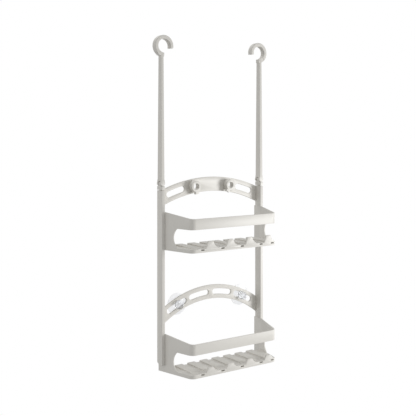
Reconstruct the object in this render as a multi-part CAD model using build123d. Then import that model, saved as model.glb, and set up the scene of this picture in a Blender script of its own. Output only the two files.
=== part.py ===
from build123d import *
import os
from math import asin, cos, degrees, radians, sin, sqrt

# Two-tier hanging shower caddy. All sizes are in millimetres. It is drawn with X = 0 on the plane
# of symmetry, Y = 0 on the front faces of the uprights (+Y towards the wall) and Z = 0 on the
# underside of the lower basket. The last step moves every piece so that the origin is the middle
# of the line that the two hooks hang from.

# ---- driving dimensions: frame
overall_width = 290.0        # across the outer faces of the two uprights
upright_thickness = 8.0
upright_depth = 21.0
upright_top = 404.6          # joint line under the arms
upright_foot = 16.0          # where the uprights start, on the feet of the lower basket
upright_edge = 1.0           # rounding of the long edges
tier_pitch = 272.0           # from one basket to the next

# ---- driving dimensions: baskets
basket_reach = 80.0          # how far a basket stands out in front of the uprights
basket_front_width = 237.0   # between the sharp front corners, before rounding
basket_corner = 14.0
basket_wall = 2.6
basket_back_height = 84.4
basket_front_height = 74.0
band_height = 23.5           # of the front band
floor_top = 8.0
floor_thickness = 2.5
front_rail_depth = 9.0       # solid strip under the front rim
opening_back = 24.0          # deepest point of the side opening, from the uprights' front
opening_corner = 35.0        # where that curve meets the band and the floor
foot_depth = 20.0            # length of the foot under each upright
slat_count = 7
slat_pitch = 33.8
slat_width = 20.0
slat_height = 3.3
slat_length = 68.0
slat_ramp = 7.0              # sloped front end of a slat
slat_edge = 0.8
tooth_count = 4
tooth_pitch = 54.6
tooth_thickness = 4.5
upper_tooth_height = 16.0    # above the floor
lower_tooth_height = 10.4
tooth_top_width = 13.0
tooth_lean = 5.5             # sideways slope of the steep flank
tooth_tail = 21.0            # length of the long hollow flank
drain_width = 10.0           # the drains are short pockets in the front rim
drain_height = 3.0
drain_depth = 6.5
drain_cover = 0.9            # plastic left over a drain
first_drain_inset = 28.4     # from the sharp left corner
last_drain_inset = 11.0      # from the sharp right corner
drain_to_tooth = 10.3        # from a drain to the foot of the tooth beside it

# ---- driving dimensions: arches
arch_thickness = 4.0
arch_edge = 0.6
upper_arch_apex = 430.6
upper_arch_band = 33.2       # height of the band at the middle
upper_arch_top_rise = 27.1   # from the ends of an edge up to its middle
upper_arch_under_rise = 30.8
upper_slot_height = 14.0
upper_slot_start = 73.5      # of the slots, across from the middle
upper_slot_margin = 15.5     # from the end of a slot to the upright
lower_arch_apex = 176.7
lower_arch_band = 32.0
lower_arch_top_rise = 43.0
lower_arch_under_rise = 47.9
lower_slot_height = 13.0
lower_inner_slot = (5.5, 60.0)
lower_outer_slot_start = 68.0
lower_slot_margin = 17.0

# ---- driving dimensions: arms, swivels and hooks
swivel_gap = 1.5             # dark line between upright and arm base
swivel_radius = 2.3
swivel_length = 22.0
swivel_bead = 0.4            # how far the snap bead stands out
collar_radius = 3.6
base_height = 8.3            # block of the arm base
knuckle_radius = 5.5
knuckle_pin_radius = 2.0
tongue_thickness = 7.0
pin_cover = 1.5              # plastic left in front of the pin
arm_foot_width = 8.0
arm_foot_depth = 17.5
arm_top_width = 6.4
arm_top_depth = 12.0
arm_edge = 0.8
arm_reach = 308.0            # from the knuckle pin to the centre of the hook
arm_dimple_radius = 1.8
arm_dimple_depth = 2.5
hook_offset = 5.2            # hook centre towards the middle, from the arm's centre line
hook_inner_radius = 15.6     # inside of the soft grip
hook_outer_radius = 24.2
hook_thickness = 13.6
grip_wall = 0.9
hook_tip_drop = 4.6          # the free end stops this far below the hook's centre
hook_seam_angle = 225.0      # where the grip starts on the neck
hook_neck_angle = 268.0

# ---- driving dimensions: ring hooks and suction cups
ring_spacing = 99.0          # between the two ring hooks
ring_radius = 13.0
ring_bore_radius = 7.1
ring_bore_length = 8.0
ring_length = 14.0
ring_spigot_radius = 11.8
ring_spigot_wall = 0.9       # the bore opens out behind its narrow front part
ring_lip = 0.9
ring_lip_thickness = 0.8
ring_edge = 0.8
peg_width = 8.7
peg_depth = 6.9
peg_drop = 5.0
left_peg_turn = 8.0          # how far each ring is turned as it comes
right_peg_turn = -31.0
cup_place = 90.0             # across from the middle, along the outer slots
cup_radius = 25.0
cup_depth = 3.4
cup_rim_width = 3.0
cup_rim_thickness = 1.0
cup_crown_radius = 9.5
cup_crown_step = 0.6         # the flat crown stands this far proud of the skirt
cup_middle_thickness = 1.8
cup_stud_radius = 4.0
cup_stud_grip = 6.0          # length of the stud inside the knob
knob_radius = 10.0
knob_length = 8.0
knob_edge = 1.6

# ---- fits
running_clearance = 0.05     # radial, pins and spigots that turn
sliding_clearance = 0.3      # faces that pass each other
joint_clearance = 0.15       # tenons and lugs pushed into the uprights

# ---- places worked out from the sizes above
inner_half = overall_width / 2 - upright_thickness
arm_x = overall_width / 2 - upright_thickness / 2
arm_y = upright_depth / 2
arch_front = upright_depth - arch_thickness
base_bottom = upright_top + swivel_gap
base_top = base_bottom + base_height
pivot_z = base_top + sliding_clearance + knuckle_radius
hook_x = arm_x - hook_offset
hook_z = pivot_z + arm_reach
front_half = basket_front_width / 2
taper = (inner_half - front_half) / basket_reach
upper_arch_top_radius = (inner_half**2 + upper_arch_top_rise**2) / (2 * upper_arch_top_rise)
upper_arch_under_radius = (inner_half**2 + upper_arch_under_rise**2) / (2 * upper_arch_under_rise)
upper_mid_radius = (upper_arch_top_radius + upper_arch_under_radius) / 2
upper_mid_centre = upper_arch_apex - upper_arch_band / 2 - upper_mid_radius
upper_slot = (upper_slot_start, inner_half - upper_slot_margin)
lower_arch_top_radius = (inner_half**2 + lower_arch_top_rise**2) / (2 * lower_arch_top_rise)
lower_arch_under_radius = (inner_half**2 + lower_arch_under_rise**2) / (2 * lower_arch_under_rise)
lower_mid_radius = (lower_arch_top_radius + lower_arch_under_radius) / 2
lower_outer_slot = (lower_outer_slot_start, inner_half - lower_slot_margin)
lower_mid_centre = lower_arch_apex - lower_arch_band / 2 - lower_mid_radius
ring_x = ring_spacing / 2
ring_z = upper_mid_centre + sqrt(upper_mid_radius**2 - ring_x**2)
cup_angle = degrees(asin(cup_place / lower_mid_radius))
cup_z = lower_mid_centre + lower_mid_radius * cos(radians(cup_angle))
frame_shift = Pos(0, -arm_y, -hook_z)


# ---- small helpers
def along_x(outline, low, high):
    """A Y-Z outline made solid between two X planes."""
    return extrude(Pos(low, 0, 0) * (Plane.YZ * outline), amount=high - low, dir=(1, 0, 0))


def along_y(outline, low, high):
    """An X-Z outline made solid between two Y planes."""
    return extrude(Pos(0, low, 0) * (Plane.XZ * outline), amount=high - low, dir=(0, 1, 0))


def along_z(outline, low, high):
    """An X-Y outline made solid between two Z planes."""
    return extrude(Pos(0, 0, low) * outline, amount=high - low, dir=(0, 0, 1))


def block(x, y, z):
    """A box given by its low and high value on each axis."""
    size = [high - low for low, high in (x, y, z)]
    middle = [(high + low) / 2 for low, high in (x, y, z)]
    return Pos(*middle) * Box(*size)


def rod_y(radius, x, z, low, high):
    """A round bar along Y."""
    return along_y(Pos(x, z) * Circle(radius), low, high)


def rod_z(radius, x, y, low, high):
    """A round bar along Z."""
    return along_z(Pos(x, y) * Circle(radius), low, high)


def flipped(part):
    """The same piece for the other side of the caddy."""
    return mirror(part, about=Plane.YZ)


# ---- lugs and tenons, with the pockets that they fit in the right-hand upright
lug_depth = (6.0, 15.0)
lug_reach = 3.0
lug_half_height = 10.0
tenon_inset = 0.8            # of the arch's tenon, from its front and back faces
tenon_half_height = 8.0


def basket_lug(bottom, clearance=0.0):
    middle = bottom + basket_back_height / 2
    y = (lug_depth[0] - clearance, lug_depth[1] + clearance)
    z = (middle - lug_half_height - clearance, middle + lug_half_height + clearance)
    return block((inner_half - clearance, inner_half + lug_reach + clearance), y, z)


def arch_tenon(height, clearance=0.0):
    y = (arch_front + tenon_inset - clearance, upright_depth - tenon_inset + clearance)
    z = (height - tenon_half_height - clearance, height + tenon_half_height + clearance)
    return block((inner_half - clearance, inner_half + lug_reach + clearance), y, z)


# mid-height of each arch where it meets the upright
upper_arch_end = upper_arch_apex - (upper_arch_band + upper_arch_top_rise + upper_arch_under_rise) / 2
lower_arch_end = lower_arch_apex - (lower_arch_band + lower_arch_top_rise + lower_arch_under_rise) / 2


# ---- uprights
def right_upright():
    chamfer_back, chamfer_up = 8.0, 4.0      # cut corner at the bottom of the back edge
    bead_height = 2.0
    bar = Pos(arm_x, arm_y, (upright_top + upright_foot) / 2) * Box(
        upright_thickness, upright_depth, upright_top - upright_foot)
    bar = fillet(bar.edges().filter_by(Axis.Z), upright_edge)
    corner = Polygon((upright_depth, upright_foot), (upright_depth - chamfer_back, upright_foot),
                     (upright_depth, upright_foot + chamfer_up), align=None)
    bar -= along_x(corner, inner_half, overall_width / 2)
    bore = swivel_radius + running_clearance
    bead_at = upright_top - swivel_length + bead_height
    bar -= rod_z(bore, arm_x, arm_y, upright_top - swivel_length - 1, upright_top)
    bar -= rod_z(bore + swivel_bead, arm_x, arm_y, bead_at - 0.2, bead_at + bead_height + 0.2)
    for bottom in (0, tier_pitch):
        bar -= basket_lug(bottom, joint_clearance)
    for height in (lower_arch_end, upper_arch_end):
        bar -= arch_tenon(height, joint_clearance)
    return bar


# ---- arches
def arch_plate(apex, band, top_radius, under_radius, slots, end_height):
    outline = Pos(0, apex - top_radius) * Circle(top_radius)
    outline -= Pos(0, apex - band - under_radius) * Circle(under_radius)
    outline &= Pos(0, apex) * Rectangle(2 * inner_half, 2 * (apex - end_height) + 2 * band)
    for slot in slots:
        outline -= slot
    plate = along_y(outline, arch_front, upright_depth)
    plate = chamfer(plate.faces().sort_by(Axis.Y)[0].edges(), arch_edge)
    return plate + arch_tenon(end_height) + flipped(arch_tenon(end_height))


def arch_slots(centre, radius, height, start, end):
    """A curved slot on each side of the middle; start and end are its outermost points."""
    half = height / 2
    first = degrees(asin(start / radius) + half / radius)
    last = degrees(asin(end / radius) - half / radius)
    right = SlotArc(CenterArc((0, centre), radius, 90 - last, last - first), height)
    left = SlotArc(CenterArc((0, centre), radius, 90 + first, last - first), height)
    return [right, left]


def upper_arch():
    slots = arch_slots(upper_mid_centre, upper_mid_radius, upper_slot_height, *upper_slot)
    plate = arch_plate(upper_arch_apex, upper_arch_band, upper_arch_top_radius,
                       upper_arch_under_radius, slots, upper_arch_end)
    for side in (-1, 1):
        plate -= rod_y(ring_spigot_radius + running_clearance, side * ring_x, ring_z,
                       arch_front, upright_depth)
    return plate


def lower_arch():
    slots = []
    for start, end in (lower_inner_slot, lower_outer_slot):
        slots += arch_slots(lower_mid_centre, lower_mid_radius, lower_slot_height, start, end)
    return arch_plate(lower_arch_apex, lower_arch_band, lower_arch_top_radius,
                      lower_arch_under_radius, slots, lower_arch_end)


# ---- baskets
def basket_outline(back):
    """Plan of the basket's outer faces: straight beside the uprights, then tapering forwards."""
    outline = Polygon((-inner_half, back), (-inner_half, 0), (-front_half, -basket_reach),
                      (front_half, -basket_reach), (inner_half, 0), (inner_half, back),
                      align=None)
    return fillet(outline.vertices().sort_by(Axis.Y)[:2], basket_corner)


def tooth_outline(drain_x, tooth_height):
    """One front tooth: a steep flank beside the drain and a long hollow one."""
    low, high = floor_top, floor_top + tooth_height
    foot = drain_x + drain_to_tooth
    top = foot + tooth_lean
    shoulder = top + tooth_top_width
    tail = shoulder + tooth_tail
    hollow = (shoulder + 0.28 * tooth_tail, low + 0.3 * tooth_height)
    edge = Polyline((tail, low), (tail, low - 1), (foot, low - 1), (foot, low), (top, high),
                    (shoulder, high))
    return make_face(edge + ThreePointArc((shoulder, high), hollow, (tail, low)))


def drain(x):
    """The room of a drain: a flat pocket with round ends, cut from the front into the rim."""
    slot = Pos(x, floor_top - drain_cover - drain_height / 2) * SlotOverall(drain_width, drain_height)
    return along_y(slot, -basket_reach - 1, -basket_reach + drain_depth)


def basket(tooth_height):
    wide = 2 * overall_width
    plan = basket_outline(upright_depth)
    long_plan = basket_outline(upright_depth + 4 * basket_wall)
    ring = (long_plan - offset(long_plan, -basket_wall)) & plan
    wall = along_z(ring, 0, basket_back_height)

    # the top edge slopes down to the front band, and one cut opens the front and both sides
    above = Polygon((0, basket_back_height), (-basket_reach, basket_front_height),
                    (-2 * basket_reach, basket_front_height), (-2 * basket_reach, 2 * wide),
                    (0, 2 * wide), align=None)
    wall -= along_x(above, -wide, wide)
    band_bottom = basket_front_height - band_height
    middle = (band_bottom + floor_top) / 2
    edge = Polyline((-opening_corner, band_bottom), (-2 * basket_reach, band_bottom),
                    (-2 * basket_reach, floor_top), (-opening_corner, floor_top))
    curve = ThreePointArc((-opening_corner, floor_top), (-opening_back, middle),
                          (-opening_corner, band_bottom))
    wall -= along_x(make_face(edge + curve), -wide, wide)

    # floor plate, front rail, slats, teeth and drains
    floor_plan = plan & (Pos(0, -basket_reach) * Rectangle(wide, 2 * basket_reach))
    tray = wall + along_z(floor_plan, floor_top - floor_thickness, floor_top)
    rail_plan = plan & (Pos(0, -basket_reach) * Rectangle(wide, 2 * front_rail_depth))
    tray += along_z(rail_plan, 0, floor_top)
    side = Polygon((0, floor_top - 0.5), (0, floor_top + slat_height),
                   (-slat_length + slat_ramp, floor_top + slat_height),
                   (-slat_length, floor_top), (-slat_length, floor_top - 0.5), align=None)
    slat = along_x(side, -slat_width / 2, slat_width / 2)
    top_face = slat.faces().sort_by(Axis.Z)[-1]
    slat = chamfer(top_face.edges().filter_by(Axis.Y), slat_edge)
    for index in range(slat_count):
        tray += Pos((index - (slat_count - 1) / 2) * slat_pitch, 0, 0) * slat
    solid_plan = along_z(plan, 0, basket_back_height)
    for index in range(tooth_count):
        drain_x = -front_half + first_drain_inset + index * tooth_pitch
        outline = tooth_outline(drain_x, tooth_height)
        tray += along_y(outline, -basket_reach, -basket_reach + tooth_thickness) & solid_plan
        tray -= drain(drain_x)
    tray -= drain(front_half - last_drain_inset)
    return tray + basket_lug(0) + flipped(basket_lug(0))


def lower_basket():
    """The lower basket also has a foot that reaches under each upright."""
    back_half = inner_half + taper * foot_depth
    plan = Polygon((inner_half - basket_wall, 0), (inner_half, 0), (back_half, foot_depth),
                   (inner_half - basket_wall, foot_depth), align=None)
    foot = along_z(plan, 0, upright_foot)
    return basket(lower_tooth_height) + foot + flipped(foot)


def upper_basket():
    return Pos(0, 0, tier_pitch) * basket(upper_tooth_height)


# ---- arms (right-hand side; the hook opens towards the middle)
def right_arm_base():
    """Block that swivels on the upright, with a spigot below and a tongue above."""
    bead_height = 2.0
    bead_at = upright_top - swivel_length + bead_height
    base = Pos(arm_x, arm_y, (base_bottom + base_top) / 2) * Box(
        upright_thickness, upright_depth, base_height)
    base = fillet(base.edges().filter_by(Axis.Z), upright_edge)
    base += rod_z(collar_radius, arm_x, arm_y, upright_top + running_clearance, base_bottom)
    base += rod_z(swivel_radius, arm_x, arm_y, upright_top - swivel_length, base_bottom)
    base += rod_z(swivel_radius + swivel_bead, arm_x, arm_y, bead_at, bead_at + bead_height)
    half = tongue_thickness / 2
    tongue_radius = knuckle_radius - 1.0
    neck = Pos(arm_x, (base_top + pivot_z) / 2 - 0.5) * Rectangle(
        2 * tongue_radius - 2, pivot_z - base_top + 1)
    tongue = neck + Pos(arm_x, pivot_z) * Circle(tongue_radius)
    base += along_y(tongue, arm_y - half, arm_y + half)
    return base - rod_y(knuckle_pin_radius + running_clearance, arm_x, pivot_z,
                        arm_y - half, arm_y + half)


def right_pivot_pin():
    front = arm_y - arm_foot_depth / 2 + pin_cover
    return rod_y(knuckle_pin_radius, arm_x, pivot_z, front, arm_y + arm_foot_depth / 2)


def right_arm():
    """Tapered arm: a forked knuckle below, and above it the neck and core of the hook."""
    blend_up = 9.0                            # the knuckle swells out of the bar over this height
    core_inner = hook_inner_radius + grip_wall
    core_outer = hook_outer_radius - grip_wall
    foot = Pos(arm_x, arm_y, pivot_z) * RectangleRounded(arm_foot_width, arm_foot_depth, arm_edge)
    top = Pos(arm_x, arm_y, hook_z - hook_inner_radius * 0.6) * RectangleRounded(
        arm_top_width, arm_top_depth, arm_edge)
    arm = loft([foot, top])
    front, back = arm_y - arm_foot_depth / 2, arm_y + arm_foot_depth / 2
    swell = Pos(arm_x, pivot_z) * Circle(knuckle_radius)
    swell += Pos(arm_x, pivot_z) * Polygon(
        (-knuckle_radius, 0), (knuckle_radius, 0), (arm_foot_width / 2 - 0.1, blend_up),
        (-arm_foot_width / 2 + 0.1, blend_up), align=None)
    arm += along_y(swell, front, back)

    # hook: a thick neck up to the seam of the grip, then a core over the top to the free end
    side = 2 * hook_outer_radius
    neck, seam = radians(hook_neck_angle), radians(hook_seam_angle) + 0.2 / hook_outer_radius
    gap = Polygon((0, 0), (side * cos(neck), side * sin(neck)), (side, -side),
                  (side, -hook_tip_drop + grip_wall), (0, -hook_tip_drop + grip_wall),
                  align=None)
    core = flipped(Circle(core_outer) - Circle(core_inner) - gap)
    sector = Polygon((0, 0), (side * cos(seam), side * sin(seam)),
                     (side * cos(neck), side * sin(neck)), align=None)
    thick_neck = flipped((Circle(hook_outer_radius) - Circle(hook_inner_radius)) & sector)
    hook_y = (arm_y - arm_top_depth / 2, arm_y + arm_top_depth / 2)
    arm += along_y(Pos(hook_x, hook_z) * core, *hook_y)
    arm += along_y(Pos(hook_x, hook_z) * thick_neck, *hook_y)
    arm -= rod_y(hook_inner_radius, hook_x, hook_z, front, back)

    # room for the tongue of the base, its pin, and a dimple on the inner face
    room = tongue_thickness / 2 + sliding_clearance
    arm -= block((arm_x - 20, arm_x + 20), (arm_y - room, arm_y + room),
                 (pivot_z - 20, pivot_z + knuckle_radius))
    arm -= rod_y(knuckle_pin_radius, arm_x, pivot_z, front + pin_cover, back)
    dimple = Pos(back - 2.9, pivot_z - 0.4) * Circle(arm_dimple_radius)
    knuckle_face = arm_x - knuckle_radius
    arm -= along_x(dimple, knuckle_face, knuckle_face + arm_dimple_depth)
    return arm


def right_hook_grip():
    """Soft sleeve over the hook, from the seam on the neck round to a closed tip."""
    side = 2 * hook_outer_radius
    seam = radians(hook_seam_angle)
    core_clearance = 0.1
    gap = Polygon((0, 0), (side * cos(seam), side * sin(seam)), (side, -side),
                  (side, -hook_tip_drop), (0, -hook_tip_drop), align=None)
    outer = flipped((Circle(hook_outer_radius) - Circle(hook_inner_radius)) - gap)
    inside = flipped((Circle(hook_outer_radius - grip_wall + core_clearance)
                      - Circle(hook_inner_radius + grip_wall - core_clearance))
                     - Pos(hook_outer_radius, -hook_outer_radius - hook_tip_drop + grip_wall
                           - core_clearance) * Rectangle(side, side))
    half, core_half = hook_thickness / 2, arm_top_depth / 2 + core_clearance
    sleeve = along_y(Pos(hook_x, hook_z) * outer, arm_y - half, arm_y + half)
    return sleeve - along_y(Pos(hook_x, hook_z) * inside, arm_y - core_half, arm_y + core_half)


# ---- ring hooks on the upper arch
def ring_hook(x, turn):
    """A short tube that turns in the arch, held by a lip behind it, with a peg in front."""
    front = arch_front - ring_length
    back = upright_depth + sliding_clearance / 2
    tube = rod_y(ring_radius, 0, 0, front, arch_front - sliding_clearance / 2)
    tube = chamfer(tube.faces().sort_by(Axis.Y)[0].edges(), ring_edge)
    peg = block((-peg_width / 2, peg_width / 2), (front, front + peg_depth),
                (-ring_radius - peg_drop, -ring_bore_radius - 1))
    tube += peg
    tube += rod_y(ring_spigot_radius, 0, 0, front + 1, back)
    tube += rod_y(ring_spigot_radius + ring_lip, 0, 0, back, back + ring_lip_thickness)
    tube -= rod_y(ring_bore_radius, 0, 0, front, back)
    tube -= rod_y(ring_spigot_radius - ring_spigot_wall, 0, 0, front + ring_bore_length,
                  back + ring_lip_thickness)
    return Pos(x, 0, ring_z) * (Rot(0, -turn, 0) * tube)


# ---- suction cups on the lower arch (right-hand side)
cup_front = upright_depth + sliding_clearance
cup_back = cup_front + cup_depth
knob_back = arch_front - sliding_clearance


def right_suction_cup():
    """Cup, waist and stud in one piece. The waist runs in the slot of the arch."""
    waist = lower_slot_height / 2 - sliding_clearance
    inner_rim = cup_radius - cup_rim_width
    outline = Polygon((0, knob_back - cup_stud_grip), (cup_stud_radius, knob_back - cup_stud_grip),
                      (cup_stud_radius, knob_back), (waist, knob_back), (waist, cup_front),
                      (cup_crown_radius, cup_front),
                      (cup_crown_radius + 2, cup_front + cup_crown_step),
                      (cup_radius, cup_back - cup_rim_thickness), (cup_radius, cup_back),
                      (inner_rim, cup_back), (cup_crown_radius, cup_front + cup_middle_thickness),
                      (0, cup_front + cup_middle_thickness), align=None)
    turned = revolve(outline, axis=Axis.Y)
    return Pos(cup_place, 0, cup_z) * turned


def right_cup_knob():
    """Thumb knob pushed onto the stud in front of the arch."""
    knob = rod_y(knob_radius, 0, 0, knob_back - knob_length, knob_back)
    knob = fillet(knob.faces().sort_by(Axis.Y)[0].edges(), knob_edge)
    knob -= rod_y(cup_stud_radius, 0, 0, knob_back - cup_stud_grip, knob_back)
    return Pos(cup_place, 0, cup_z) * knob


# ---- every node of the assembly
nodes = {
    "upper_arch": upper_arch(),
    "lower_arch": lower_arch(),
    "upper_basket": upper_basket(),
    "lower_basket": lower_basket(),
    "left_ring_hook": ring_hook(-ring_x, left_peg_turn),
    "right_ring_hook": ring_hook(ring_x, right_peg_turn),
}
pairs = {
    "upright": right_upright(),
    "arm_base": right_arm_base(),
    "pivot_pin": right_pivot_pin(),
    "arm": right_arm(),
    "hook_grip": right_hook_grip(),
    "suction_cup": right_suction_cup(),
    "cup_knob": right_cup_knob(),
}
for name, part in pairs.items():
    nodes["right_" + name] = part
    nodes["left_" + name] = flipped(part)

os.makedirs("parts", exist_ok=True)
for name, part in nodes.items():
    export_step(frame_shift * part, f"parts/{name}.step")
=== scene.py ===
# %% [markdown]
# # A hanging shower caddy
# This lesson dresses a shower caddy of moulded plastic. The caddy hangs on a shower rail by two
# long hooked arms. It has two open baskets, two arched rails, two ring hooks for small things and
# two clear suction cups that steady it on the tiles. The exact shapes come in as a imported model:
# it is the frame that every new piece is built around. Everything is in metres, with +Z up and
# +Y towards the wall.

# %% Load the frame
from math import cos, radians, sin

import bmesh
import bpy
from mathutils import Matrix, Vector


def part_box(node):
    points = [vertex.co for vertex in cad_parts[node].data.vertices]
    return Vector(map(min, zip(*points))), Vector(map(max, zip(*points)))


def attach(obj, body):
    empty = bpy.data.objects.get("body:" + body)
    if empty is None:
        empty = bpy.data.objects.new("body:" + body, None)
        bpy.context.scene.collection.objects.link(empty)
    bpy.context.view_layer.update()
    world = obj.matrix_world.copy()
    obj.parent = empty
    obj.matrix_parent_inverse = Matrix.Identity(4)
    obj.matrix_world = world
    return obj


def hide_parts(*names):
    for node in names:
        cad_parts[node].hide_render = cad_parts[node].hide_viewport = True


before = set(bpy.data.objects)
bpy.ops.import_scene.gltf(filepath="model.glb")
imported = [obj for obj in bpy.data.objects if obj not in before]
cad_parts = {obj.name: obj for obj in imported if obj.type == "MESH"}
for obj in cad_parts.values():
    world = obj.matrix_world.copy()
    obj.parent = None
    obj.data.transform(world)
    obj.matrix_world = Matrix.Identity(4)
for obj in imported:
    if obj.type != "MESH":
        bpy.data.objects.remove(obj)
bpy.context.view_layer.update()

MM = 0.001

# %% [markdown]
# ## The shared effects
# Moulded plastic is never one flat colour. The mould leaves a fine spark-eroded grain, which
# scatters the light a little, and the melt leaves very soft clouds of tone where it flowed. Both
# effects go into one node group each, so that each material can use them with its own strength.
# A group could also hold the whole shader, but keeping only the pattern in it lets the roughness
# and the gloss stay visible in the material itself.

# %% A helper that starts a node group
def new_group(name, inputs, outputs):
    """A shader node group. Inputs are {name: (socket, default)}, outputs {name: socket}."""
    group = bpy.data.node_groups.new(name, "ShaderNodeTree")
    for label, (kind, default) in inputs.items():
        socket = group.interface.new_socket(label, in_out="INPUT", socket_type=kind)
        socket.default_value = default
    for label, kind in outputs.items():
        group.interface.new_socket(label, in_out="OUTPUT", socket_type=kind)
    return group, group.nodes.new("NodeGroupInput"), group.nodes.new("NodeGroupOutput")


def add_node(tree, kind, **settings):
    """A node with its own settings. A name of an input socket sets that socket's value."""
    node = tree.nodes.new(kind)
    for name, value in settings.items():
        if name in node.inputs:
            node.inputs[name].default_value = value
        else:
            setattr(node, name, value)
    return node


print("the helpers new_group and add_node are ready")


# %% Mould grain: a fine bump
grain_height = 0.00005            # metres, the full depth of the grain


def mould_grain():
    """The group that tilts the surface a little, as the spark-eroded skin of a mould does."""
    group, inside, outside = new_group(
        "mould grain",
        {"Grain size": ("NodeSocketFloat", 1800.0), "Depth": ("NodeSocketFloat", 0.2)},
        {"Normal": "NodeSocketVector"})
    place = add_node(group, "ShaderNodeTexCoord")
    noise = add_node(group, "ShaderNodeTexNoise", Detail=2.0, Roughness=0.6)
    bump = add_node(group, "ShaderNodeBump", Distance=grain_height)
    link = group.links.new
    link(place.outputs["Object"], noise.inputs["Vector"])
    link(inside.outputs["Grain size"], noise.inputs["Scale"])
    link(noise.outputs["Fac"], bump.inputs["Height"])
    link(inside.outputs["Depth"], bump.inputs["Strength"])
    link(bump.outputs["Normal"], outside.inputs["Normal"])
    return group


grain_group = mould_grain()
print("made the group", grain_group.name)


# %% Melt clouds: slow drifts of tone
def melt_clouds():
    """The group that drifts between two tones, and between two strengths of gloss."""
    group, inside, outside = new_group(
        "melt clouds",
        {"Light": ("NodeSocketColor", (0.8, 0.8, 0.8, 1.0)),
         "Dark": ("NodeSocketColor", (0.7, 0.7, 0.7, 1.0)),
         "Cloud size": ("NodeSocketFloat", 9.0),
         "Smooth": ("NodeSocketFloat", 0.4),
         "Dull": ("NodeSocketFloat", 0.5)},
        {"Color": "NodeSocketColor", "Roughness": "NodeSocketFloat"})
    place = add_node(group, "ShaderNodeTexCoord")
    noise = add_node(group, "ShaderNodeTexNoise", Detail=3.0, Roughness=0.5)
    colour = add_node(group, "ShaderNodeMix", data_type="RGBA")
    shine = add_node(group, "ShaderNodeMapRange")
    link = group.links.new
    link(place.outputs["Object"], noise.inputs["Vector"])
    link(inside.outputs["Cloud size"], noise.inputs["Scale"])
    link(noise.outputs["Fac"], colour.inputs["Factor"])
    link(inside.outputs["Light"], colour.inputs["A"])
    link(inside.outputs["Dark"], colour.inputs["B"])
    link(noise.outputs["Fac"], shine.inputs["Value"])
    link(inside.outputs["Smooth"], shine.inputs["To Min"])
    link(inside.outputs["Dull"], shine.inputs["To Max"])
    link(colour.outputs["Result"], outside.inputs["Color"])
    link(shine.outputs["Result"], outside.inputs["Roughness"])
    return group


clouds_group = melt_clouds()
print("made the group", clouds_group.name)

# %% [markdown]
# ## The finishes
# Five finishes dress the caddy. The frame is satin polypropylene in a warm off-white. The sleeves
# on the hooks are a softer, duller plastic of the same colour. The pins are plain moulded nylon.
# The suction cups are clear and flexible, and the thumb knobs are clear and hard.

# %% Opaque moulded plastics
plastic_ior = 1.49


def moulded_plastic(name, light, dark, smooth, dull, grain_size, grain_depth):
    """Opaque plastic: its colour drifts between two tones, and its skin has a fine grain."""
    material = bpy.data.materials.new(name)
    material.use_nodes = True
    tree = material.node_tree
    shader = tree.nodes["Principled BSDF"]
    clouds = add_node(tree, "ShaderNodeGroup", node_tree=clouds_group)
    clouds.inputs["Light"].default_value = (*light, 1.0)
    clouds.inputs["Dark"].default_value = (*dark, 1.0)
    clouds.inputs["Smooth"].default_value = smooth
    clouds.inputs["Dull"].default_value = dull
    grain = add_node(tree, "ShaderNodeGroup", node_tree=grain_group)
    grain.inputs["Grain size"].default_value = grain_size
    grain.inputs["Depth"].default_value = grain_depth
    tree.links.new(clouds.outputs["Color"], shader.inputs["Base Color"])
    tree.links.new(clouds.outputs["Roughness"], shader.inputs["Roughness"])
    tree.links.new(grain.outputs["Normal"], shader.inputs["Normal"])
    shader.inputs["IOR"].default_value = plastic_ior
    print("made the finish", name)
    return material


body_plastic = moulded_plastic(
    "satin polypropylene", light=(0.700, 0.682, 0.640), dark=(0.672, 0.653, 0.610),
    smooth=0.36, dull=0.46, grain_size=1600.0, grain_depth=0.25)
grip_plastic = moulded_plastic(
    "soft sleeve plastic", light=(0.690, 0.672, 0.630), dark=(0.660, 0.642, 0.600),
    smooth=0.50, dull=0.62, grain_size=1200.0, grain_depth=0.35)
pin_plastic = moulded_plastic(
    "pin nylon", light=(0.640, 0.625, 0.585), dark=(0.600, 0.585, 0.545),
    smooth=0.30, dull=0.40, grain_size=1800.0, grain_depth=0.2)


# %% Clear plastics
faint_shade = 0.985               # the darker tone of a clear plastic, as a share of its tint
clear_cloud_size = 60.0
clear_grain_size = 220.0


def clear_plastic(name, tint, smooth, dull, ior, grain_depth):
    """Clear plastic: it passes light, with a faint tint and a slightly uneven skin."""
    material = bpy.data.materials.new(name)
    material.use_nodes = True
    tree = material.node_tree
    shader = tree.nodes["Principled BSDF"]
    clouds = add_node(tree, "ShaderNodeGroup", node_tree=clouds_group)
    clouds.inputs["Light"].default_value = (*tint, 1.0)
    clouds.inputs["Dark"].default_value = (*[faint_shade * part for part in tint], 1.0)
    clouds.inputs["Cloud size"].default_value = clear_cloud_size
    clouds.inputs["Smooth"].default_value = smooth
    clouds.inputs["Dull"].default_value = dull
    grain = add_node(tree, "ShaderNodeGroup", node_tree=grain_group)
    grain.inputs["Grain size"].default_value = clear_grain_size
    grain.inputs["Depth"].default_value = grain_depth
    tree.links.new(clouds.outputs["Color"], shader.inputs["Base Color"])
    tree.links.new(clouds.outputs["Roughness"], shader.inputs["Roughness"])
    tree.links.new(grain.outputs["Normal"], shader.inputs["Normal"])
    shader.inputs["Transmission Weight"].default_value = 1.0
    shader.inputs["IOR"].default_value = ior
    print("made the finish", name)
    return material


cup_plastic = clear_plastic(
    "clear soft plastic", tint=(0.870, 0.875, 0.885), smooth=0.26, dull=0.36, ior=1.36,
    grain_depth=0.3)
knob_plastic = clear_plastic(
    "clear hard plastic", tint=(0.930, 0.935, 0.945), smooth=0.26, dull=0.34, ior=1.22,
    grain_depth=0.15)

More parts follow.
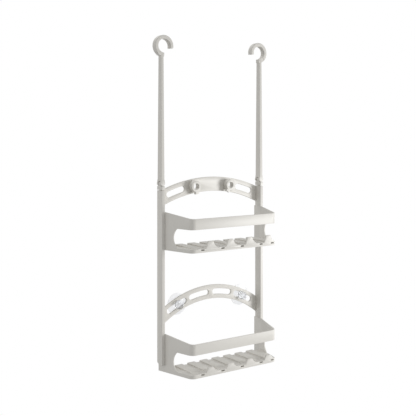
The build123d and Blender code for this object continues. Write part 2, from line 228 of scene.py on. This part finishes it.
# %% [markdown]
# ## Rounding what the mould rounds
# The frame's rigid pieces have the right shapes already, but their edges are razor sharp, and no
# mould can make that. A real edge has a small radius, which catches a thin line of light, and
# that line tells the eye what size the thing is. Each piece could be modelled again from nothing,
# but a copy of the exact mesh is truer to size. The copy is merged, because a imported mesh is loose
# triangles, its flat triangles are dissolved into whole faces, and a Bevel modifier rounds every
# edge that turns more than the limit. Hardened normals keep the flat faces looking flat.

# %% Rounded copies of exact pieces
merge_distance = 0.002 * MM       # points closer than this become one
flat_turn = 0.4                   # degrees: triangles that turn less are one flat face


def finish_piece(mesh_builder, name, body, finish):
    """Turns a bmesh into an object at the origin, smooth shaded, that rides on a body."""
    mesh = bpy.data.meshes.new(name)
    mesh_builder.to_mesh(mesh)
    mesh_builder.free()
    mesh.shade_smooth()
    piece = bpy.data.objects.new(name, mesh)
    bpy.context.scene.collection.objects.link(piece)
    piece.data.materials.append(finish)
    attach(piece, body)
    print(name, "has", len(mesh.polygons), "faces and rides on", body)
    return piece


def round_edges(piece, radius, least_turn=28.0, steps=3):
    """Rounds every edge of a piece that turns by more than least_turn degrees."""
    bevel = piece.modifiers.new("rounded edges", "BEVEL")
    bevel.width = radius
    bevel.segments = steps
    bevel.profile = 0.5
    bevel.limit_method = "ANGLE"
    bevel.angle_limit = radians(least_turn)
    bevel.harden_normals = True
    bevel.use_clamp_overlap = True


def rounded_copy(node, body, radius, finish=body_plastic):
    """A copy of an exact piece with soft edges, which stands in its place."""
    copy = bmesh.new()
    copy.from_mesh(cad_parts[node].data)
    bmesh.ops.remove_doubles(copy, verts=copy.verts, dist=merge_distance)
    bmesh.ops.dissolve_limit(copy, angle_limit=radians(flat_turn), verts=copy.verts,
                             edges=copy.edges)
    piece = finish_piece(copy, node + "_shell", body, finish)
    round_edges(piece, radius)
    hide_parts(node)


print("edges are rounded where they turn; flat faces are merged below", flat_turn, "degrees")

# %% [markdown]
# ## The frame pieces
# Baskets, arches and uprights are one hard plastic. Their edges get about half a millimetre of
# radius: more would eat the thin walls of the baskets.

# %% Baskets, arches and uprights
basket_edge = 0.5 * MM
arch_edge = 0.4 * MM
upright_edge = 0.4 * MM

for node in ("upper_basket", "lower_basket"):
    rounded_copy(node, "frame", basket_edge)
for node in ("upper_arch", "lower_arch"):
    rounded_copy(node, "frame", arch_edge)
for node in ("left_upright", "right_upright"):
    rounded_copy(node, "frame", upright_edge)

# %% [markdown]
# ## The moving pieces of the body
# Each arm stands on a small base that swivels, and a pin holds the two together. The ring hooks
# turn in the upper arch. All are rounded copies too, and each rides on its own body, so that it
# follows its joint. The pins are hidden in their knuckles but for their ends, so the exact pin
# stays and only gets a finish.

# %% Arms, their bases and the ring hooks
arm_edge = 0.4 * MM
base_edge = 0.3 * MM
ring_edge = 0.5 * MM

for side in ("left", "right"):
    rounded_copy(side + "_arm", side + "_arm", arm_edge)
    rounded_copy(side + "_arm_base", side + "_swivel", base_edge)
    rounded_copy(side + "_ring_hook", side + "_ring", ring_edge)
    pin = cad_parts[side + "_pivot_pin"]
    pin.data.materials.clear()
    pin.data.materials.append(pin_plastic)


# %% [markdown]
# ## The sleeves on the hooks
# A soft sleeve covers each hook, so that the caddy grips the rail and does not scratch it. The real
# sleeve is dipped or pushed on, and it follows the hook from a seam on the neck, over the top, to a
# closed tip. It could be a curve with a bevel object, but a spun section keeps its exact inner and
# outer radius, which the rail needs. The section is a rectangle with round corners. It turns about
# the middle of the hook, its far end is cut level, and a thickness turned inwards makes it hollow.

# %% Sizes of a hook sleeve
hook_centre = 135.8 * MM          # across from the middle of the caddy
sleeve_inner = 15.6 * MM          # radius that sits on the rail
sleeve_outer = 24.2 * MM
sleeve_width = 13.6 * MM
sleeve_corner = 1.8 * MM
sleeve_wall = 0.7 * MM
sleeve_tip_drop = 4.6 * MM        # the tip ends this far below the middle of the hook
sleeve_tip_round = 1.0 * MM
sleeve_edge = 0.2 * MM
seam_angle = -43.2                # on the outer side of the neck, in degrees
sleeve_end_angle = 200            # a little past the tip, which is then cut level
print("the sleeve is", round((sleeve_outer - sleeve_inner) / MM, 2), "mm thick")


# %% The section of the sleeve
def round_rectangle(low, high, half_width, corner, steps=5):
    """Points (radius, y) around a rectangle with round corners."""
    corners = ((high - corner, half_width - corner, 0), (low + corner, half_width - corner, 90),
               (low + corner, corner - half_width, 180), (high - corner, corner - half_width, 270))
    points = []
    for radius, y, start in corners:
        for step in range(steps + 1):
            turn = radians(start + 90 * step / steps)
            points.append((radius + corner * cos(turn), y + corner * sin(turn)))
    return points


sleeve_section = round_rectangle(sleeve_inner, sleeve_outer, sleeve_width / 2, sleeve_corner)
print("the section has", len(sleeve_section), "points")


# %% Spinning the section round the hook
sleeve_steps = 60
tip_height = 4 * MM               # on the tip's side, everything below this is near the tip
hair = 0.001 * MM                 # points closer than this are one point


def ring_of_points(builder, points, angle, centre):
    """A closed loop of edges, its points given as (radius, y), standing at an angle."""
    turn = radians(angle)
    loop = [builder.verts.new((centre + radius * cos(turn), y, radius * sin(turn)))
            for radius, y in points]
    return loop + [builder.edges.new((loop[index - 1], loop[index])) for index in range(len(loop))]


def hook_sleeve():
    """The skin of the right-hand sleeve, open at the seam and closed at the tip."""
    builder = bmesh.new()
    loop = ring_of_points(builder, sleeve_section, seam_angle, hook_centre)
    turned = bmesh.ops.spin(builder, geom=loop, cent=(hook_centre, 0, 0), axis=(0, -1, 0),
                            angle=radians(sleeve_end_angle - seam_angle), steps=sleeve_steps)
    near_tip = [part for part in builder.verts
                if part.co.x < hook_centre and part.co.z < tip_height]
    tip_faces = {face for part in near_tip for face in part.link_faces}
    tip_parts = set(tip_faces)
    for face in tip_faces:
        tip_parts.update(face.verts)
        tip_parts.update(face.edges)
    cut = bmesh.ops.bisect_plane(builder, geom=list(tip_parts), dist=hair,
                                 plane_co=(0, 0, -sleeve_tip_drop), plane_no=(0, 0, -1),
                                 clear_outer=True)
    rim = [part for part in cut["geom_cut"] if isinstance(part, bmesh.types.BMEdge)]
    bmesh.ops.contextual_create(builder, geom=rim)
    bmesh.ops.recalc_face_normals(builder, faces=builder.faces)
    bmesh.ops.bevel(builder, geom=rim, offset=sleeve_tip_round, segments=4, profile=0.5,
                    affect="EDGES", material=-1)
    return builder


print("the sleeve turns through", round(sleeve_end_angle - seam_angle, 1), "degrees")


# %% Both sleeves
def other_side(builder):
    """Mirrors a bmesh to the left-hand side of the caddy."""
    bmesh.ops.scale(builder, verts=builder.verts, vec=(-1, 1, 1))
    bmesh.ops.reverse_faces(builder, faces=builder.faces)
    return builder


def hollow(piece, wall):
    """Gives a skin a wall that is measured inwards."""
    thickness = piece.modifiers.new("wall", "SOLIDIFY")
    thickness.thickness = wall
    thickness.offset = -1.0


for side in ("left", "right"):
    builder = hook_sleeve()
    if side == "left":
        other_side(builder)
    sleeve = finish_piece(builder, side + "_hook_sleeve", side + "_arm", grip_plastic)
    hollow(sleeve, sleeve_wall)
    round_edges(sleeve, sleeve_edge)
    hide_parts(side + "_hook_grip")

# %% [markdown]
# ## The suction cups and their knobs
# Cup and knob are both bodies of revolution: a lathe profile that is spun once round. The cup is
# one soft moulding. Its stud and waist pass through the slot of the lower arch, and its thin skirt
# spreads out behind. The hard knob is pushed onto the stud from the front and holds the cup in the
# slot. Both are clear, so the insides are modelled too: light bends on every hidden wall.

# %% A lathe
def turned_piece(points, x, z, steps=96):
    """Spins a profile of (radius, y) points about a line along Y through (x, z)."""
    builder = bmesh.new()
    row = [builder.verts.new((x + radius, y, z)) for radius, y in points]
    edges = [builder.edges.new(pair) for pair in zip(row, row[1:])]
    bmesh.ops.spin(builder, geom=row + edges, cent=(x, 0, z), axis=(0, 1, 0),
                   angle=radians(360), steps=steps, use_merge=True)
    bmesh.ops.remove_doubles(builder, verts=builder.verts, dist=hair)
    bmesh.ops.recalc_face_normals(builder, faces=builder.faces)
    return builder


print("the lathe turns a profile of (radius, y) points")

# %% Profile of a suction cup
stud_radius = 3.95 * MM
stud_front = 0.3 * MM
waist_radius = 6.2 * MM
waist_front = 6.2 * MM
crown_radius = 9.5 * MM
crown_y = 10.8 * MM
skirt_start = (11.5 * MM, 11.4 * MM)
cup_radius = 25.0 * MM
skirt_end_y = 13.3 * MM
cup_back = 14.2 * MM
rim_inner = 22.0 * MM
hollow_y = 12.6 * MM
skirt_steps = 8
skirt_bow = 1.5


def between(start, end, bow, steps):
    """Points on a bowed line from start to end. A bow above 1 starts flat and ends steep."""
    return [(start[0] + (end[0] - start[0]) * step / steps,
             start[1] + (end[1] - start[1]) * (step / steps) ** bow) for step in range(steps + 1)]


cup_profile = [(0, stud_front), (stud_radius, stud_front), (stud_radius, waist_front),
               (waist_radius, waist_front), (waist_radius, crown_y), (crown_radius, crown_y)]
cup_profile += between(skirt_start, (cup_radius, skirt_end_y), skirt_bow, skirt_steps)
cup_profile += [(cup_radius, cup_back), (rim_inner, cup_back)]
inner_skirt = between((crown_radius, hollow_y), (rim_inner, cup_back), skirt_bow, skirt_steps)
cup_profile += inner_skirt[-2::-1]
cup_profile += [(0, hollow_y)]
print("the cup's profile has", len(cup_profile), "points")

# %% Profile of a knob
knob_radius = 10.0 * MM
knob_front = -1.8 * MM
knob_back = 6.15 * MM
knob_edge = 1.6 * MM
knob_bore = 4.05 * MM
knob_bore_end = 0.2 * MM
knob_edge_steps = 6

knob_profile = [(0, knob_front)]
for step in range(knob_edge_steps + 1):
    turn = radians(90 * step / knob_edge_steps)
    knob_profile.append((knob_radius - knob_edge + knob_edge * sin(turn),
                         knob_front + knob_edge - knob_edge * cos(turn)))
knob_profile += [(knob_radius, knob_back), (knob_bore, knob_back), (knob_bore, knob_bore_end),
                 (0, knob_bore_end)]
print("the knob's profile has", len(knob_profile), "points")

# %% Both cups and both knobs
clear_edge = 0.25 * MM

for side in ("left", "right"):
    low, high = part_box(side + "_suction_cup")
    x, z = (low[0] + high[0]) / 2, (low[2] + high[2]) / 2
    cup = finish_piece(turned_piece(cup_profile, x, z), side + "_cup_skirt", side + "_cup",
                       cup_plastic)
    round_edges(cup, clear_edge)
    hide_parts(side + "_suction_cup")
    knob = finish_piece(turned_piece(knob_profile, x, z), side + "_thumb_knob", side + "_cup",
                        knob_plastic)
    round_edges(knob, clear_edge)
    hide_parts(side + "_cup_knob")

# %% [markdown]
# ## The camera
# The camera stands in front and to the left, level with the upper arch, and looks straight ahead,
# so that upright edges stay upright. The lens is shifted down instead of tilted.

# %% Camera
camera_place = (-1.0697, -1.4860, -0.1960)
camera_turn = -35.44              # degrees about the upright line, from straight ahead
lens_length = 67.69               # mm
lens_shift = -0.1793              # downwards, as a share of the picture

camera_data = bpy.data.cameras.new("camera")
camera = bpy.data.objects.new("camera", camera_data)
bpy.context.scene.collection.objects.link(camera)
camera.location = camera_place
camera.rotation_euler = (radians(90), 0, radians(camera_turn))
camera_data.lens = lens_length
camera_data.shift_y = lens_shift
camera_data.dof.use_dof = False
bpy.context.scene.camera = camera
print("camera at", [round(value, 3) for value in camera.location])

# %% [markdown]
# ## The white room
# A product like this stands in a white room. The room could be built from lamps, but an even world
# colour is simpler and gives no hot spots. Light that has bounced off plastic sees a darker room
# than the camera does, so that the sides keep their shape against a white background.

# %% World
white = (1.0, 1.0, 1.0, 1.0)
room_seen = 1.0                   # strength of the room where the camera sees it
room_bounced = 0.62               # strength of the room where it lights the plastic

world = bpy.data.worlds.new("white room")
bpy.context.scene.world = world
world.use_nodes = True
world.cycles.sampling_method = "NONE"
tree = world.node_tree
paths = add_node(tree, "ShaderNodeLightPath")
room = tree.nodes["Background"]
room.inputs["Color"].default_value = white
dimmer = add_node(tree, "ShaderNodeMapRange")
dimmer.inputs["To Min"].default_value = room_seen
dimmer.inputs["To Max"].default_value = room_bounced
bounced = add_node(tree, "ShaderNodeMath", operation="MAXIMUM")
tree.links.new(paths.outputs["Is Diffuse Ray"], bounced.inputs[0])
tree.links.new(paths.outputs["Is Glossy Ray"], bounced.inputs[1])
tree.links.new(bounced.outputs["Value"], dimmer.inputs["Value"])
tree.links.new(dimmer.outputs["Result"], room.inputs["Strength"])
bpy.context.scene.view_settings.view_transform = "Standard"
print("the room is", room_seen, "bright to the eye and", room_bounced, "bright to the plastic")

# %% [markdown]
# ## The lamps
# Three soft lamps add direction to the even light of the room. The strongest stands in front and to
# the right and is near, so its light falls off across the caddy. A weaker one on the left keeps
# that side from going flat, and one high behind lights the back. One lamp alone would leave the
# sides away from it in one even grey.


# %% Lamps
lamp_aim = (0.0, 0.0, -0.38)      # near the middle of the caddy's height


def soft_lamp(name, azimuth, elevation, distance, size, power):
    """A square lamp that looks at the middle of the caddy. Azimuth 0 is straight in front."""
    aim = Vector(lamp_aim)
    way = Vector((sin(radians(azimuth)) * cos(radians(elevation)),
                  -cos(radians(azimuth)) * cos(radians(elevation)), sin(radians(elevation))))
    data = bpy.data.lights.new(name, "AREA")
    data.size = size
    data.energy = power
    lamp = bpy.data.objects.new(name, data)
    bpy.context.scene.collection.objects.link(lamp)
    lamp.location = aim + distance * way
    lamp.rotation_euler = (-way).to_track_quat("-Z", "Y").to_euler()
    print(name, "at", [round(value, 2) for value in lamp.location])


soft_lamp("right lamp", azimuth=49.0, elevation=-5.0, distance=1.6, size=0.6, power=16.5)
soft_lamp("left side lamp", azimuth=-100.0, elevation=10.0, distance=3.2, size=0.9, power=10.5)
soft_lamp("back lamp", azimuth=180.0, elevation=50.0, distance=3.2, size=0.9, power=17.0)

# %% [markdown]
# ## The floor
# The caddy hangs, so the floor lies well below it and should not be noticed. It glows white where
# it is seen, so that it runs into the background without an edge, and is plain grey where bounced
# light meets it. A large white board would do it too, but its far edge would show as a line.

# %% Floor
floor_level = -1.6
floor_reach = 30.0
floor_tone = (0.5, 0.5, 0.5, 1.0)
floor_roughness = 0.9

floor_builder = bmesh.new()
bmesh.ops.create_grid(floor_builder, x_segments=1, y_segments=1, size=floor_reach)
bmesh.ops.translate(floor_builder, verts=floor_builder.verts, vec=(0, 0, floor_level))
floor_mesh = bpy.data.meshes.new("floor")
floor_builder.to_mesh(floor_mesh)
floor_builder.free()
floor = bpy.data.objects.new("floor", floor_mesh)
bpy.context.scene.collection.objects.link(floor)
floor_paint = bpy.data.materials.new("white floor")
floor_paint.use_nodes = True
floor_paint.cycles.emission_sampling = "NONE"
tree = floor_paint.node_tree
paths = add_node(tree, "ShaderNodeLightPath")
glow = add_node(tree, "ShaderNodeEmission")
mixer = add_node(tree, "ShaderNodeMixShader")
board = tree.nodes["Principled BSDF"]
board.inputs["Base Color"].default_value = floor_tone
board.inputs["Roughness"].default_value = floor_roughness
tree.links.new(paths.outputs["Is Diffuse Ray"], mixer.inputs["Fac"])
tree.links.new(glow.outputs["Emission"], mixer.inputs[1])
tree.links.new(board.outputs["BSDF"], mixer.inputs[2])
tree.links.new(mixer.outputs["Shader"], tree.nodes["Material Output"].inputs["Surface"])
floor_mesh.materials.append(floor_paint)
print("floor at", floor_level, "m")
